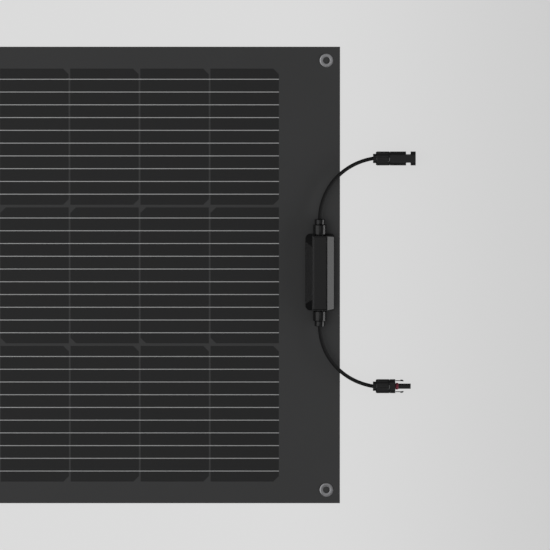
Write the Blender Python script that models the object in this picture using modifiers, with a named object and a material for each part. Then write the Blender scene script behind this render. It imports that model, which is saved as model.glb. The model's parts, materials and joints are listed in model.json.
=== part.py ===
"""Flexible solar sheet: a thin laminate of half-cut cells with a junction box and two coupler leads.

The sheet lies on z = 0 with its length along X and its face up. The origin is the middle of its
underside. The laminate is divided into ten strips, one for each column of cells, which hinge at the gaps
between columns. Strip 1, at +X, carries the junction box. The lead at +Y ends in the pin coupler, the one
at -Y in the socket coupler. Units are metres.
"""

from math import cos, pi, radians, sin

import bmesh
import bpy
from mathutils import Vector

# Sheet
SHEET_LENGTH = 1.055
SHEET_WIDTH = 0.612
BOX_MARGIN = 0.0817
CELL_WIDTH = 0.091
COLUMN_GAP = 0.0025
COLUMNS = 10
COLUMN_PITCH = CELL_WIDTH + COLUMN_GAP
HINGE_GAP = 0.0007

BACK_THICKNESS = 0.0015
LAYER_GAP = 0.0001
CELL_LAYER_THICKNESS = 0.0005
FILM_THICKNESS = 0.0003
CELL_LAYER_Z = BACK_THICKNESS + LAYER_GAP
FILM_Z = CELL_LAYER_Z + CELL_LAYER_THICKNESS + LAYER_GAP
SHEET_TOP = FILM_Z + FILM_THICKNESS
EDGE_SEAL = 0.004

# Corner eyelets
EYELET_INSET = 0.018
EYELET_BORE = 0.0045
EYELET_BARREL = 0.0055
EYELET_FLANGE = 0.009
EYELET_RISE = 0.0008
EYELET_HOLE = 0.0058

# A piece that rests on, or passes through, another keeps this gap to it
FIT = 0.0003

# Junction box: a ridge with a slope on either side. The slope towards the cells is hipped at both ends.
BOX_X = 0.5006
BOX_Y = 0.0045
BOX_WIDTH = 0.0387
BOX_LENGTH = 0.1027
BOX_TOP_WIDTH = 0.0202
BOX_TOP_LENGTH = 0.100
BOX_HEIGHT = 0.018
BOX_SKIRT = 0.0113
BOX_DRAFT = 0.0002
BOX_INNER_CORNER = 0.0065
BOX_OUTER_CORNER = 0.0035
BOX_TOP_CORNER = 0.0012
BOX_TOP_BEVEL = 0.0006
BOX_FLOOR = 0.0015
BOX_WALL = 0.002
BOX_Z = SHEET_TOP + FIT
HIP_START = 0.0414
HIP_TOE = 0.0004
BAY_FLOOR = 0.002
CAVITY_LENGTH = 0.080
CAVITY_SHOULDER = 0.0099
CAVITY_CEILING = 0.0152
LID_RIM = 0.0009
LID_THICKNESS = 0.0016
LID_RECESS = 0.0004
LID_LEDGE = 0.0015

# Inside the box
TERMINAL_WIDTH = 0.008
TERMINAL_LENGTH = 0.018
TERMINAL_HEIGHT = 0.0112
TERMINAL_PLATE = 0.0012
TERMINAL_UPRIGHT = 0.0016
DIODE_WIDTH = 0.010
DIODE_LENGTH = 0.016
DIODE_HEIGHT = 0.0045
DIODE_BEVEL = 0.0006

# Cable glands, turned about the lead's axis and measured outwards from the box's end wall
GLAND_Z = BOX_Z + 0.0090
GLAND_RADIUS = 0.00905
GLAND_LENGTH = 0.01265
GLAND_STUB_RADIUS = 0.0055
GLAND_POCKET_RADIUS = 0.0051
GLAND_POCKET_FLOOR = 0.003
NUT_RADIUS = 0.00705
NUT_LENGTH = 0.0067
NUT_GAP = 0.0005
NUT_THREAD_LENGTH = 0.0035
NUT_MOUTH_RADIUS = 0.0035
CHAMFER = 0.0007

# Cable
CABLE_RADIUS = 0.00245
CABLE_BORE = CABLE_RADIUS + FIT
TAIL_SHORTFALL = 0.002
TAIL_INSIDE = 0.012
BEND_AT_GLAND = 0.0365
BEND_AT_COLLAR = 0.0458
ENTRY_ANGLE = radians(10)

# Couplers, measured forwards from the joint between end nut and housing
COUPLER_RADIUS = 0.0093
COUPLER_Z = COUPLER_RADIUS + 0.00005
COUPLER_JOINT_X = 0.5936
PIN_COUPLER_Y = 0.1573
SOCKET_COUPLER_Y = -0.1480
COLLAR_RADIUS = 0.0062
COLLAR_LENGTH = 0.0038
END_NUT_LENGTH = 0.0220
END_NUT_CAVITY = 0.0120
END_NUT_SLOPE = 0.0022
END_NUT_SHOULDER = 0.0011
STUB_RADIUS = 0.0066
STUB_BORE = 0.0056
STUB_LENGTH = 0.0090
SEAL_SEAT = 0.0020
CRIMP_START = 0.0030
CRIMP_RADIUS = 0.0021

SHELL_LENGTH = 0.0348
SHELL_BORE = 0.0043
SHELL_BORE_FLOOR = 0.0126
WINDOW_START = 0.0219
WINDOW_END = 0.0281
WINDOW_DEPTH = 0.0043
PIN_RADIUS = 0.0015
PIN_TIP = 0.0275

PROBE_BODY_LENGTH = 0.0078
PROBE_RADIUS = 0.0033
PROBE_TIP = 0.0284
PROBE_BORE = 0.0024
SOCKET_RADIUS = 0.0021
SOCKET_BORE = 0.00155
SOCKET_FLOOR = 0.0127
SOCKET_TIP = 0.0270
SEAL_RING_START = 0.0082
SEAL_RING_END = 0.0119
SEAL_RING_RADIUS = 0.00445
ARM_OFFSET = 0.0073
ARM_THICKNESS = 0.0008
ARM_TIP = 0.0188
BARB_START = 0.0150
BARB_RISE = 0.0009
BARB_LENGTH = 0.0025
ARM_WIDTH = 0.005

ROUND_STEPS = 24
CORNER_STEPS = 6
SHARP_ANGLE = radians(30)

COLOURS = {
    "front_film": ((0.036, 0.037, 0.039), 0.55, 0.0),
    "cells": ((0.020, 0.021, 0.024), 0.40, 0.0),
    "back_sheet": ((0.030, 0.030, 0.031), 0.60, 0.0),
    "box_plastic": ((0.017, 0.017, 0.018), 0.45, 0.0),
    "coupler_plastic": ((0.012, 0.012, 0.013), 0.50, 0.0),
    "cable_jacket": ((0.010, 0.010, 0.011), 0.55, 0.0),
    "seal_rubber": ((0.020, 0.020, 0.020), 0.80, 0.0),
    "red_seal": ((0.180, 0.012, 0.035), 0.60, 0.0),
    "eyelet_metal": ((0.560, 0.560, 0.580), 0.30, 1.0),
    "contact_metal": ((0.640, 0.620, 0.580), 0.25, 1.0),
    "diode_body": ((0.030, 0.030, 0.032), 0.50, 0.0),
}


def clear_scene():
    """Removes every object, so that the model is the only thing in the file."""
    for obj in list(bpy.data.objects):
        bpy.data.objects.remove(obj, do_unlink=True)


def new_collection(name):
    """A new collection, linked to the scene."""
    collection = bpy.data.collections.new(name)
    bpy.context.scene.collection.children.link(collection)
    return collection


def new_material(name):
    """A Principled material with the colour, roughness and metallic value listed for this name."""
    colour, roughness, metallic = COLOURS[name]
    material = bpy.data.materials.new(name)
    material.use_nodes = True
    shader = material.node_tree.nodes["Principled BSDF"]
    shader.inputs["Base Color"].default_value = (*colour, 1.0)
    shader.inputs["Roughness"].default_value = roughness
    shader.inputs["Metallic"].default_value = metallic
    material.diffuse_color = (*colour, 1.0)
    return material


clear_scene()
PARTS = new_collection("flexible_solar_sheet")
CUTTERS = new_collection("cutters")
MATERIALS = {name: new_material(name) for name in COLOURS}


def keep(obj, name, material):
    """Names obj, gives it its material and moves it into the parts collection."""
    obj.name = name
    obj.data.name = name
    obj.data.materials.clear()
    obj.data.materials.append(MATERIALS[material])
    move_to(obj, PARTS)
    return obj


def move_to(obj, collection):
    """Leaves obj in this collection only."""
    for old in list(obj.users_collection):
        old.objects.unlink(obj)
    collection.objects.link(obj)


def as_cutter(obj):
    """Marks obj as a cutting shape, which isn't part of the model."""
    move_to(obj, CUTTERS)
    obj.hide_render = True
    obj.display_type = "WIRE"
    return obj


def cut(obj, cutter):
    """Takes the cutter's shape out of obj."""
    modifier = obj.modifiers.new("cut", "BOOLEAN")
    modifier.operation = "DIFFERENCE"
    modifier.object = as_cutter(cutter)


def block(low, high):
    """A box from its lowest corner to its highest."""
    low, high = Vector(low), Vector(high)
    bpy.ops.mesh.primitive_cube_add(size=1, location=(low + high) / 2)
    obj = bpy.context.object
    obj.scale = high - low
    bpy.ops.object.transform_apply(location=False, rotation=False, scale=True)
    return obj


def rod(radius, start, end):
    """A cylinder between two points."""
    start, end = Vector(start), Vector(end)
    bpy.ops.mesh.primitive_cylinder_add(
        radius=radius, depth=(end - start).length, vertices=ROUND_STEPS, location=(start + end) / 2
    )
    obj = bpy.context.object
    obj.rotation_mode = "QUATERNION"
    obj.rotation_quaternion = (end - start).to_track_quat("Z", "Y")
    shade(obj.data)
    return obj


def shade(mesh):
    """Shades the mesh smooth, apart from its sharp edges."""
    mesh.shade_smooth()
    mesh.set_sharp_from_angle(angle=SHARP_ANGLE)


def turned(name, outline, place, material):
    """A shape turned about its own Z axis by a Screw modifier, from an outline of (radius, height) points.

    The outline goes down its outer side. It ends on the axis where it starts there, and closes on itself
    otherwise, back up the inner side. place is (location, rotation). The modifier is applied at the end, so
    that the mesh can be shaded.
    """
    mesh = bpy.data.meshes.new(name)
    points = [(radius, 0, height) for radius, height in outline]
    edges = [(i, i + 1) for i in range(len(points) - 1)]
    if outline[0][0] > 0:
        edges.append((len(points) - 1, 0))
    mesh.from_pydata(points, edges, [])
    obj = bpy.data.objects.new(name, mesh)
    obj.location, obj.rotation_euler = place
    screw = obj.modifiers.new("turn", "SCREW")
    screw.steps = screw.render_steps = ROUND_STEPS
    screw.use_merge_vertices = True
    screw.merge_threshold = 0.00001
    keep(obj, name, material)
    obj.data = bpy.data.meshes.new_from_object(obj.evaluated_get(bpy.context.evaluated_depsgraph_get()))
    obj.modifiers.clear()
    shade(obj.data)
    return obj


def tube_outline(outer, inner, low, high):
    """The outline of a plain ring or tube."""
    return [(outer, high), (outer, low), (inner, low), (inner, high)]


# Sheet


def strip_spans():
    """(low x, high x) of each strip, from the one with the junction box to the far end."""
    first_gap = SHEET_LENGTH / 2 - BOX_MARGIN - CELL_WIDTH - COLUMN_GAP / 2
    hinges = [first_gap - i * COLUMN_PITCH for i in range(COLUMNS - 1)]
    highs = [SHEET_LENGTH / 2] + [x - HINGE_GAP / 2 for x in hinges]
    lows = [x + HINGE_GAP / 2 for x in hinges] + [-SHEET_LENGTH / 2]
    return list(zip(lows, highs))


def eyelet_places():
    """(x, y) of each corner eyelet."""
    x = SHEET_LENGTH / 2 - EYELET_INSET
    y = SHEET_WIDTH / 2 - EYELET_INSET
    return [(x, y), (x, -y), (-x, y), (-x, -y)]


def make_layer(name, span, inset, bottom, thickness, material):
    """One layer of one strip, cut for the eyelets that pass through it.

    A layer with an inset stops short of the sheet's own edges, but not of the hinge gaps.
    """
    low, high = span
    half_width = SHEET_WIDTH / 2 - inset
    low = max(low, -SHEET_LENGTH / 2 + inset)
    high = min(high, SHEET_LENGTH / 2 - inset)
    layer = block((low, -half_width, bottom), (high, half_width, bottom + thickness))
    for x, y in eyelet_places():
        if low < x < high:
            cut(layer, rod(EYELET_HOLE, (x, y, bottom - FIT), (x, y, bottom + thickness + FIT)))
    return keep(layer, name, material)


def make_sheet():
    """The three layers of every strip."""
    for number, span in enumerate(strip_spans(), start=1):
        make_layer(f"back_sheet_{number:02d}", span, 0.0, 0.0, BACK_THICKNESS, "back_sheet")
        make_layer(
            f"cell_layer_{number:02d}", span, EDGE_SEAL, CELL_LAYER_Z, CELL_LAYER_THICKNESS, "cells"
        )
        make_layer(f"front_film_{number:02d}", span, 0.0, FILM_Z, FILM_THICKNESS, "front_film")


def make_eyelets():
    """A flanged metal eyelet in each corner, with its flange on the film and its barrel through the sheet."""
    flange_low = SHEET_TOP + LAYER_GAP
    flange_high = flange_low + EYELET_RISE
    outline = [
        (EYELET_FLANGE - EYELET_RISE / 2, flange_high),
        (EYELET_FLANGE, flange_high - EYELET_RISE / 2),
        (EYELET_FLANGE, flange_low),
        (EYELET_BARREL, flange_low),
        (EYELET_BARREL, LAYER_GAP),
        (EYELET_BORE, LAYER_GAP),
        (EYELET_BORE, flange_high - EYELET_RISE / 2),
        (EYELET_BORE + EYELET_RISE / 2, flange_high),
    ]
    for number, (x, y) in enumerate(eyelet_places(), start=1):
        turned(f"eyelet_{number:02d}", outline, ((x, y, 0), (0, 0, 0)), "eyelet_metal")


# Junction box


def rounded_outline(width, length, radii, z):
    """The points of a rounded rectangle centred on the box, anticlockwise, at height z above its base.

    radii are those of the corners at +X and at -X.
    """
    points = []
    for turn, (sx, sy) in enumerate([(1, 1), (-1, 1), (-1, -1), (1, -1)]):
        radius = radii[0] if sx > 0 else radii[1]
        centre = Vector((sx * (width / 2 - radius), sy * (length / 2 - radius), z))
        for step in range(CORNER_STEPS + 1):
            angle = (turn + step / CORNER_STEPS) * pi / 2
            points.append(centre + Vector((radius * cos(angle), radius * sin(angle), 0)))
    return points


def loft(name, sections):
    """A closed solid on the box's base, through sections with the same number of points, lowest first."""
    bm = bmesh.new()
    rings = [[bm.verts.new(point) for point in section] for section in sections]
    count = len(rings[0])
    for lower, upper in zip(rings, rings[1:]):
        for i in range(count):
            j = (i + 1) % count
            bm.faces.new((lower[i], lower[j], upper[j], upper[i]))
    bm.faces.new(list(reversed(rings[0])))
    bm.faces.new(rings[-1])
    mesh = bpy.data.meshes.new(name)
    bm.to_mesh(mesh)
    bm.free()
    shade(mesh)
    obj = bpy.data.objects.new(name, mesh)
    obj.location = (BOX_X, BOX_Y, BOX_Z)
    PARTS.objects.link(obj)
    return obj


def hip_cutter(side):
    """The wedge that takes one end off the slope towards the cells, up to the ridge's wall."""
    toe = BOX_LENGTH / 2
    fall = (BOX_SKIRT - HIP_TOE) / (toe - HIP_START)
    clear = BOX_WALL
    outline = [
        (HIP_START - (BOX_HEIGHT + clear - BOX_SKIRT) / fall, BOX_HEIGHT + clear),
        (toe + clear, HIP_TOE - clear * fall),
        (toe + clear, BOX_HEIGHT + clear),
    ]
    outside = -BOX_WIDTH / 2 - clear
    ridge = -BOX_TOP_WIDTH / 2 - BOX_DRAFT
    sections = [[Vector((x, side * y, z)) for y, z in outline] for x in (outside, ridge)]
    if side < 0:
        sections = [list(reversed(section)) for section in sections]
    return loft("hip", sections)


def cavity_cutters():
    """The space inside the housing: a wide chamber, narrow bays to the end walls, and the lid's recess."""
    inner_width = BOX_WIDTH - 2 * BOX_WALL
    inner_radius = BOX_INNER_CORNER - BOX_WALL
    mouth_width = BOX_TOP_WIDTH - 2 * (LID_RIM + LID_LEDGE)
    mouth_length = BOX_TOP_LENGTH - 2 * (LID_RIM + LID_LEDGE + BOX_WALL)
    top_corners = (BOX_TOP_CORNER, BOX_TOP_CORNER)
    chamber = loft(
        "chamber",
        [
            rounded_outline(inner_width, CAVITY_LENGTH, (inner_radius, inner_radius), BOX_FLOOR),
            rounded_outline(inner_width, CAVITY_LENGTH, (inner_radius, inner_radius), CAVITY_SHOULDER),
            rounded_outline(
                mouth_width - BOX_WALL, CAVITY_LENGTH - 3 * BOX_WALL, top_corners, CAVITY_CEILING
            ),
        ],
    )
    bays = loft(
        "bays",
        [
            rounded_outline(mouth_width, mouth_length, top_corners, z)
            for z in (BAY_FLOOR, BOX_HEIGHT + FIT)
        ],
    )

    ledge = BOX_HEIGHT - LID_RECESS - LID_THICKNESS - FIT
    recess = loft(
        "lid_recess",
        [
            rounded_outline(BOX_TOP_WIDTH - 2 * LID_RIM, BOX_TOP_LENGTH - 2 * LID_RIM, top_corners, z)
            for z in (ledge, BOX_HEIGHT + FIT)
        ],
    )
    return [chamber, bays, recess]


def make_box_housing():
    """The housing: ridge and slopes over an upright skirt, hollow inside, with a hole in each end."""
    corners = (BOX_OUTER_CORNER, BOX_INNER_CORNER)
    top_corners = (BOX_TOP_CORNER, BOX_TOP_CORNER)
    skirt_draft = 2 * BOX_DRAFT
    end_draft = (BOX_LENGTH - BOX_TOP_LENGTH) / 2
    bevel = BOX_TOP_BEVEL
    housing = loft(
        "box_housing",
        [
            rounded_outline(BOX_WIDTH, BOX_LENGTH, corners, 0),
            rounded_outline(BOX_WIDTH - skirt_draft, BOX_LENGTH - end_draft, corners, BOX_SKIRT),
            rounded_outline(BOX_TOP_WIDTH + bevel, BOX_TOP_LENGTH, top_corners, BOX_HEIGHT - bevel),
            rounded_outline(BOX_TOP_WIDTH, BOX_TOP_LENGTH - bevel, top_corners, BOX_HEIGHT),
        ],
    )
    for cutter in cavity_cutters():
        cut(housing, cutter)
    for side in (1, -1):
        cut(housing, hip_cutter(side))
        wall = BOX_Y + side * BOX_LENGTH / 2
        inside = wall - side * TAIL_INSIDE
        cut(
            housing,
            rod(GLAND_STUB_RADIUS + FIT, (BOX_X, inside, GLAND_Z), (BOX_X, wall + side * FIT, GLAND_Z)),
        )
    keep(housing, "box_housing", "box_plastic")


def make_box_lid():
    """The lid, a plate that drops into the recess and stays just below the rim."""
    width = BOX_TOP_WIDTH - 2 * (LID_RIM + FIT)
    length = BOX_TOP_LENGTH - 2 * (LID_RIM + FIT)
    corners = (BOX_TOP_CORNER - FIT, BOX_TOP_CORNER - FIT)
    top = BOX_HEIGHT - LID_RECESS
    sections = [rounded_outline(width, length, corners, z) for z in (top - LID_THICKNESS, top)]
    keep(loft("box_lid", sections), "box_lid", "box_plastic")


def make_terminal(name, side):
    """A lead's terminal: a plate on the floor with an upright at the end nearer the gland."""
    floor = BOX_Z + BOX_FLOOR + FIT
    near = BOX_Y + side * (BOX_LENGTH / 2 - TAIL_INSIDE - FIT)
    far = near - side * TERMINAL_LENGTH
    low_y, high_y = sorted((near, far))
    half = TERMINAL_WIDTH / 2
    terminal = block((BOX_X - half, low_y, floor), (BOX_X + half, high_y, floor + TERMINAL_HEIGHT))
    low_y, high_y = sorted((near - side * TERMINAL_UPRIGHT, far - side * FIT))
    half += FIT
    above = floor + TERMINAL_HEIGHT + FIT
    cut(terminal, block((BOX_X - half, low_y, floor + TERMINAL_PLATE), (BOX_X + half, high_y, above)))
    keep(terminal, f"{name}_terminal", "contact_metal")


def make_bypass_diode():
    """The diode, which lies on the floor between the terminals."""
    corner = Vector((DIODE_WIDTH / 2, DIODE_LENGTH / 2, 0))
    middle = Vector((BOX_X, BOX_Y, BOX_Z + BOX_FLOOR + FIT))
    diode = block(middle - corner, middle + corner + Vector((0, 0, DIODE_HEIGHT)))
    bevel = diode.modifiers.new("soft edges", "BEVEL")
    bevel.width = DIODE_BEVEL
    bevel.segments = 1
    keep(diode, "bypass_diode", "diode_body")


# Leads


def gland_place(side):
    """Where a gland's turned pieces stand: at the box's end wall, with their Z axis pointing outwards."""
    wall = BOX_Y + side * (BOX_LENGTH / 2 + FIT)
    return (BOX_X, wall, GLAND_Z), (-side * pi / 2, 0, 0)


def gland_mouth(side):
    """The middle of a gland nut's outer face, about which the lead swings."""
    (x, y, z), _ = gland_place(side)
    return Vector((x, y + side * (GLAND_LENGTH + NUT_GAP + NUT_LENGTH), z))


def make_gland(lead, side):
    """The gland body, its nut, the seal inside and the tail of cable that runs through to the terminal."""
    place = gland_place(side)
    stub_end = -2 * BOX_WALL - FIT
    body = [
        (GLAND_RADIUS - CHAMFER, GLAND_LENGTH),
        (GLAND_RADIUS, GLAND_LENGTH - CHAMFER),
        (GLAND_RADIUS, 0),
        (GLAND_STUB_RADIUS, 0),
        (GLAND_STUB_RADIUS, stub_end),
        (CABLE_BORE, stub_end),
        (CABLE_BORE, GLAND_POCKET_FLOOR),
        (GLAND_POCKET_RADIUS, GLAND_POCKET_FLOOR),
        (GLAND_POCKET_RADIUS, GLAND_LENGTH),
    ]
    turned(f"{lead}_gland_body", body, place, "box_plastic")

    thread_radius = GLAND_POCKET_RADIUS - FIT
    thread_low = GLAND_LENGTH - NUT_THREAD_LENGTH
    seal = tube_outline(thread_radius, CABLE_BORE, GLAND_POCKET_FLOOR + FIT, thread_low - FIT)
    turned(f"{lead}_gland_seal", seal, place, "seal_rubber")

    nut_low = GLAND_LENGTH + NUT_GAP
    nut_high = nut_low + NUT_LENGTH
    flare = NUT_MOUTH_RADIUS - CABLE_BORE
    nut = [
        (NUT_RADIUS - CHAMFER, nut_high),
        (NUT_RADIUS, nut_high - CHAMFER),
        (NUT_RADIUS, nut_low + CHAMFER / 2),
        (NUT_RADIUS - CHAMFER / 2, nut_low),
        (thread_radius, nut_low),
        (thread_radius, thread_low),
        (CABLE_BORE, thread_low),
        (CABLE_BORE, nut_high - 3 * flare),
        (NUT_MOUTH_RADIUS, nut_high),
    ]
    turned(f"{lead}_gland_nut", nut, place, "box_plastic")

    mouth = gland_mouth(side)
    outer = mouth - Vector((0, side * TAIL_SHORTFALL, 0))
    inner = Vector((BOX_X, BOX_Y + side * (BOX_LENGTH / 2 - TAIL_INSIDE), GLAND_Z))
    keep(rod(CABLE_RADIUS, inner, outer), f"{lead}_cable_tail", "cable_jacket")


def cable_curve(name, start, collar, end, bend_out, bend_in):
    """A cable that leaves start along the gland's axis, turns to +X before the collar, and runs on to end.

    bend_out and bend_in are the two handle vectors that shape the turn.
    """
    curve = bpy.data.curves.new(name, "CURVE")
    curve.dimensions = "3D"
    curve.resolution_u = 10
    curve.bevel_depth = CABLE_RADIUS
    curve.bevel_resolution = 2
    curve.use_fill_caps = True
    spline = curve.splines.new("BEZIER")
    spline.bezier_points.add(2)
    handles = [
        (start, start - bend_out, start + bend_out),
        (collar, collar - bend_in, collar.lerp(end, 1 / 3)),
        (end, collar.lerp(end, 2 / 3), end.lerp(collar, -1 / 3)),
    ]
    for point, (place, before, after) in zip(spline.bezier_points, handles):
        point.handle_left_type = point.handle_right_type = "FREE"
        point.co, point.handle_left, point.handle_right = place, before, after
    obj = bpy.data.objects.new(name, curve)
    PARTS.objects.link(obj)
    return keep(obj, name, "cable_jacket")


def coupler_place(y):
    """Where a coupler's turned pieces stand: where nut and housing meet, with their Z axis along +X."""
    return (COUPLER_JOINT_X, y, COUPLER_Z), (0, pi / 2, 0)


def make_cable(lead, side, coupler_y):
    """The free cable from the gland's mouth to the crimp inside the coupler."""
    start = gland_mouth(side)
    collar = Vector((COUPLER_JOINT_X - END_NUT_LENGTH - FIT, coupler_y, COUPLER_Z))
    end = Vector((COUPLER_JOINT_X + CRIMP_START - FIT, coupler_y, COUPLER_Z))
    bend_out = Vector((0, side * BEND_AT_GLAND, 0))
    bend_in = BEND_AT_COLLAR * Vector((cos(ENTRY_ANGLE), side * sin(ENTRY_ANGLE), 0))
    cable_curve(f"{lead}_cable", start, collar, end, bend_out, bend_in)


def make_end_nut(lead, y):
    """The coupler's end nut, with a slim collar round the cable."""
    rear = -END_NUT_LENGTH
    shoulder = rear + COLLAR_LENGTH
    outline = [
        (COUPLER_RADIUS, -FIT),
        (COUPLER_RADIUS, shoulder + END_NUT_SLOPE),
        (COUPLER_RADIUS - END_NUT_SHOULDER, shoulder),
        (COLLAR_RADIUS, shoulder),
        (COLLAR_RADIUS, rear),
        (CABLE_BORE, rear),
        (CABLE_BORE, -END_NUT_CAVITY),
        (STUB_RADIUS + FIT, -END_NUT_CAVITY),
        (STUB_RADIUS + FIT, -FIT),
    ]
    turned(f"{lead}_coupler_nut", outline, coupler_place(y), "coupler_plastic")


def make_cable_seal(lead, y):
    """The rubber seal that the end nut squeezes onto the cable."""
    outline = tube_outline(STUB_BORE - FIT, CABLE_BORE, -STUB_LENGTH, -SEAL_SEAT - FIT)
    turned(f"{lead}_coupler_seal", outline, coupler_place(y), "seal_rubber")


def rear_outline():
    """The inner end of a coupler housing: the threaded stub that holds the seal, and the crimp's cavity."""
    return [
        (STUB_RADIUS, 0),
        (STUB_RADIUS, -STUB_LENGTH),
        (STUB_BORE, -STUB_LENGTH),
        (STUB_BORE, -SEAL_SEAT),
        (CABLE_BORE, -SEAL_SEAT),
    ]


def make_pin_coupler():
    """The shell with its two side windows, and the pin contact in its bore."""
    lip = CHAMFER
    outline = [
        (COUPLER_RADIUS - lip, SHELL_LENGTH),
        (COUPLER_RADIUS, SHELL_LENGTH - lip),
        (COUPLER_RADIUS, 0),
        *rear_outline(),
        (CABLE_BORE, SHELL_BORE_FLOOR),
        (SHELL_BORE, SHELL_BORE_FLOOR),
        (SHELL_BORE, SHELL_LENGTH - lip),
        (SHELL_BORE + lip, SHELL_LENGTH),
    ]
    shell = turned("pin_coupler_shell", outline, coupler_place(PIN_COUPLER_Y), "coupler_plastic")
    for side in (1, -1):
        inner = PIN_COUPLER_Y + side * (COUPLER_RADIUS - WINDOW_DEPTH)
        outer = PIN_COUPLER_Y + side * (COUPLER_RADIUS + FIT)
        low_y, high_y = sorted((inner, outer))
        cut(
            shell,
            block(
                (COUPLER_JOINT_X + WINDOW_START, low_y, COUPLER_Z - COUPLER_RADIUS),
                (COUPLER_JOINT_X + WINDOW_END, high_y, COUPLER_Z + COUPLER_RADIUS),
            ),
        )
    contact = [
        (0, PIN_TIP),
        (PIN_RADIUS / 2, PIN_TIP),
        (PIN_RADIUS, PIN_TIP - PIN_RADIUS),
        (PIN_RADIUS, SHELL_BORE_FLOOR + PIN_RADIUS),
        (CRIMP_RADIUS, SHELL_BORE_FLOOR),
        (CRIMP_RADIUS, CRIMP_START),
        (0, CRIMP_START),
    ]
    turned("pin_contact", contact, coupler_place(PIN_COUPLER_Y), "contact_metal")


def latch_pivot(side):
    """The root of a latch arm, about which it flexes."""
    return Vector(
        (COUPLER_JOINT_X + PROBE_BODY_LENGTH, SOCKET_COUPLER_Y + side * ARM_OFFSET, COUPLER_Z)
    )


def make_latch_arm(name, side):
    """One latch arm: a flat bar beside the probe, with a barb that points outwards near its tip."""
    inner = ARM_OFFSET - ARM_THICKNESS / 2
    outer = ARM_OFFSET + ARM_THICKNESS / 2
    outline = [
        (PROBE_BODY_LENGTH + FIT, inner),
        (ARM_TIP - ARM_THICKNESS, inner),
        (ARM_TIP, inner + ARM_THICKNESS / 2),
        (BARB_START + BARB_LENGTH, outer + BARB_RISE / 2),
        (BARB_START + BARB_LENGTH / 2, outer + BARB_RISE),
        (BARB_START, outer + BARB_RISE),
        (BARB_START, outer),
        (PROBE_BODY_LENGTH + FIT, outer),
    ]
    curve = bpy.data.curves.new(name, "CURVE")
    curve.dimensions = "2D"
    curve.fill_mode = "BOTH"
    curve.extrude = ARM_WIDTH / 2
    spline = curve.splines.new("POLY")
    spline.points.add(len(outline) - 1)
    for point, (x, y) in zip(spline.points, outline):
        point.co = (x - PROBE_BODY_LENGTH, side * (y - ARM_OFFSET), 0, 1)
    spline.use_cyclic_u = True
    obj = bpy.data.objects.new(name, curve)
    obj.location = latch_pivot(side)
    PARTS.objects.link(obj)
    keep(obj, name, "coupler_plastic")


def make_socket_coupler():
    """The housing with its probe, the socket contact, the red seal ring and the two latch arms."""
    outline = [
        (PROBE_RADIUS - CHAMFER / 2, PROBE_TIP),
        (PROBE_RADIUS, PROBE_TIP - CHAMFER / 2),
        (PROBE_RADIUS, PROBE_BODY_LENGTH),
        (COUPLER_RADIUS - CHAMFER / 2, PROBE_BODY_LENGTH),
        (COUPLER_RADIUS, PROBE_BODY_LENGTH - CHAMFER / 2),
        (COUPLER_RADIUS, 0),
        *rear_outline(),
        (CABLE_BORE, CRIMP_START),
        (PROBE_BORE, CRIMP_START + FIT),
        (PROBE_BORE, PROBE_TIP),
    ]
    turned("socket_coupler_probe", outline, coupler_place(SOCKET_COUPLER_Y), "coupler_plastic")
    contact = [
        (0, SOCKET_FLOOR),
        (SOCKET_BORE, SOCKET_FLOOR),
        (SOCKET_BORE, SOCKET_TIP),
        (SOCKET_RADIUS, SOCKET_TIP),
        (SOCKET_RADIUS, CRIMP_START),
        (0, CRIMP_START),
    ]
    turned("socket_contact", contact, coupler_place(SOCKET_COUPLER_Y), "contact_metal")
    ring = tube_outline(SEAL_RING_RADIUS, PROBE_RADIUS + FIT, SEAL_RING_START, SEAL_RING_END)
    turned("socket_seal_ring", ring, coupler_place(SOCKET_COUPLER_Y), "red_seal")
    make_latch_arm("socket_latch_arm_left", 1)
    make_latch_arm("socket_latch_arm_right", -1)


def hang(name, place, pieces, parent=None):
    """An empty on a joint's axis, with the pieces that turn about it. It can hang from another empty."""
    pivot = bpy.data.objects.new(name, None)
    PARTS.objects.link(pivot)
    pivot.location = place
    attach(pivot, parent)
    for piece in pieces:
        attach(bpy.data.objects[piece], pivot)
    return pivot


def attach(obj, parent):
    """Makes obj move with its parent, and leaves it where it is."""
    bpy.context.view_layer.update()
    if parent:
        obj.parent = parent
        obj.matrix_parent_inverse = parent.matrix_world.inverted()


def hang_strips():
    """Hangs each strip on the hinge line that it shares with the strip before it."""
    pivot = None
    for number in range(2, COLUMNS + 1):
        before, strip = strip_spans()[number - 2 : number]
        pieces = [f"{layer}_{number:02d}" for layer in ("back_sheet", "cell_layer", "front_film")]
        if number == COLUMNS:
            pieces += ["eyelet_03", "eyelet_04"]
        place = ((before[0] + strip[1]) / 2, 0, SHEET_TOP / 2)
        pivot = hang(f"hinge_line_{number - 1}", place, pieces, pivot)


def hang_lead(lead, side, coupler_pieces):
    """Hangs a lead's cable and coupler on the mouth of its gland."""
    pieces = [f"{lead}_{piece}" for piece in ("cable", "coupler_nut", "coupler_seal", "contact")]
    hang(f"{lead}_lead_root", gland_mouth(side), pieces + coupler_pieces)


def main():
    make_sheet()
    make_eyelets()
    make_box_housing()
    make_box_lid()
    make_bypass_diode()
    for lead, side, coupler_y in (("pin", 1, PIN_COUPLER_Y), ("socket", -1, SOCKET_COUPLER_Y)):
        make_terminal(lead, side)
        make_gland(lead, side)
        make_cable(lead, side, coupler_y)
        make_end_nut(lead, coupler_y)
        make_cable_seal(lead, coupler_y)
    make_pin_coupler()
    make_socket_coupler()
    hang_strips()
    hang_lead("pin", 1, ["pin_coupler_shell"])
    latch_arms = ["socket_latch_arm_left", "socket_latch_arm_right"]
    hang_lead("socket", -1, ["socket_coupler_probe", "socket_seal_ring", *latch_arms])


main()
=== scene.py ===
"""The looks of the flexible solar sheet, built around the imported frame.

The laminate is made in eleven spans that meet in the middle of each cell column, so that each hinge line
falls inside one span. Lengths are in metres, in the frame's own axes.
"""

import json
from math import atan2, cos, hypot, pi, radians, sin, tan

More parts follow.
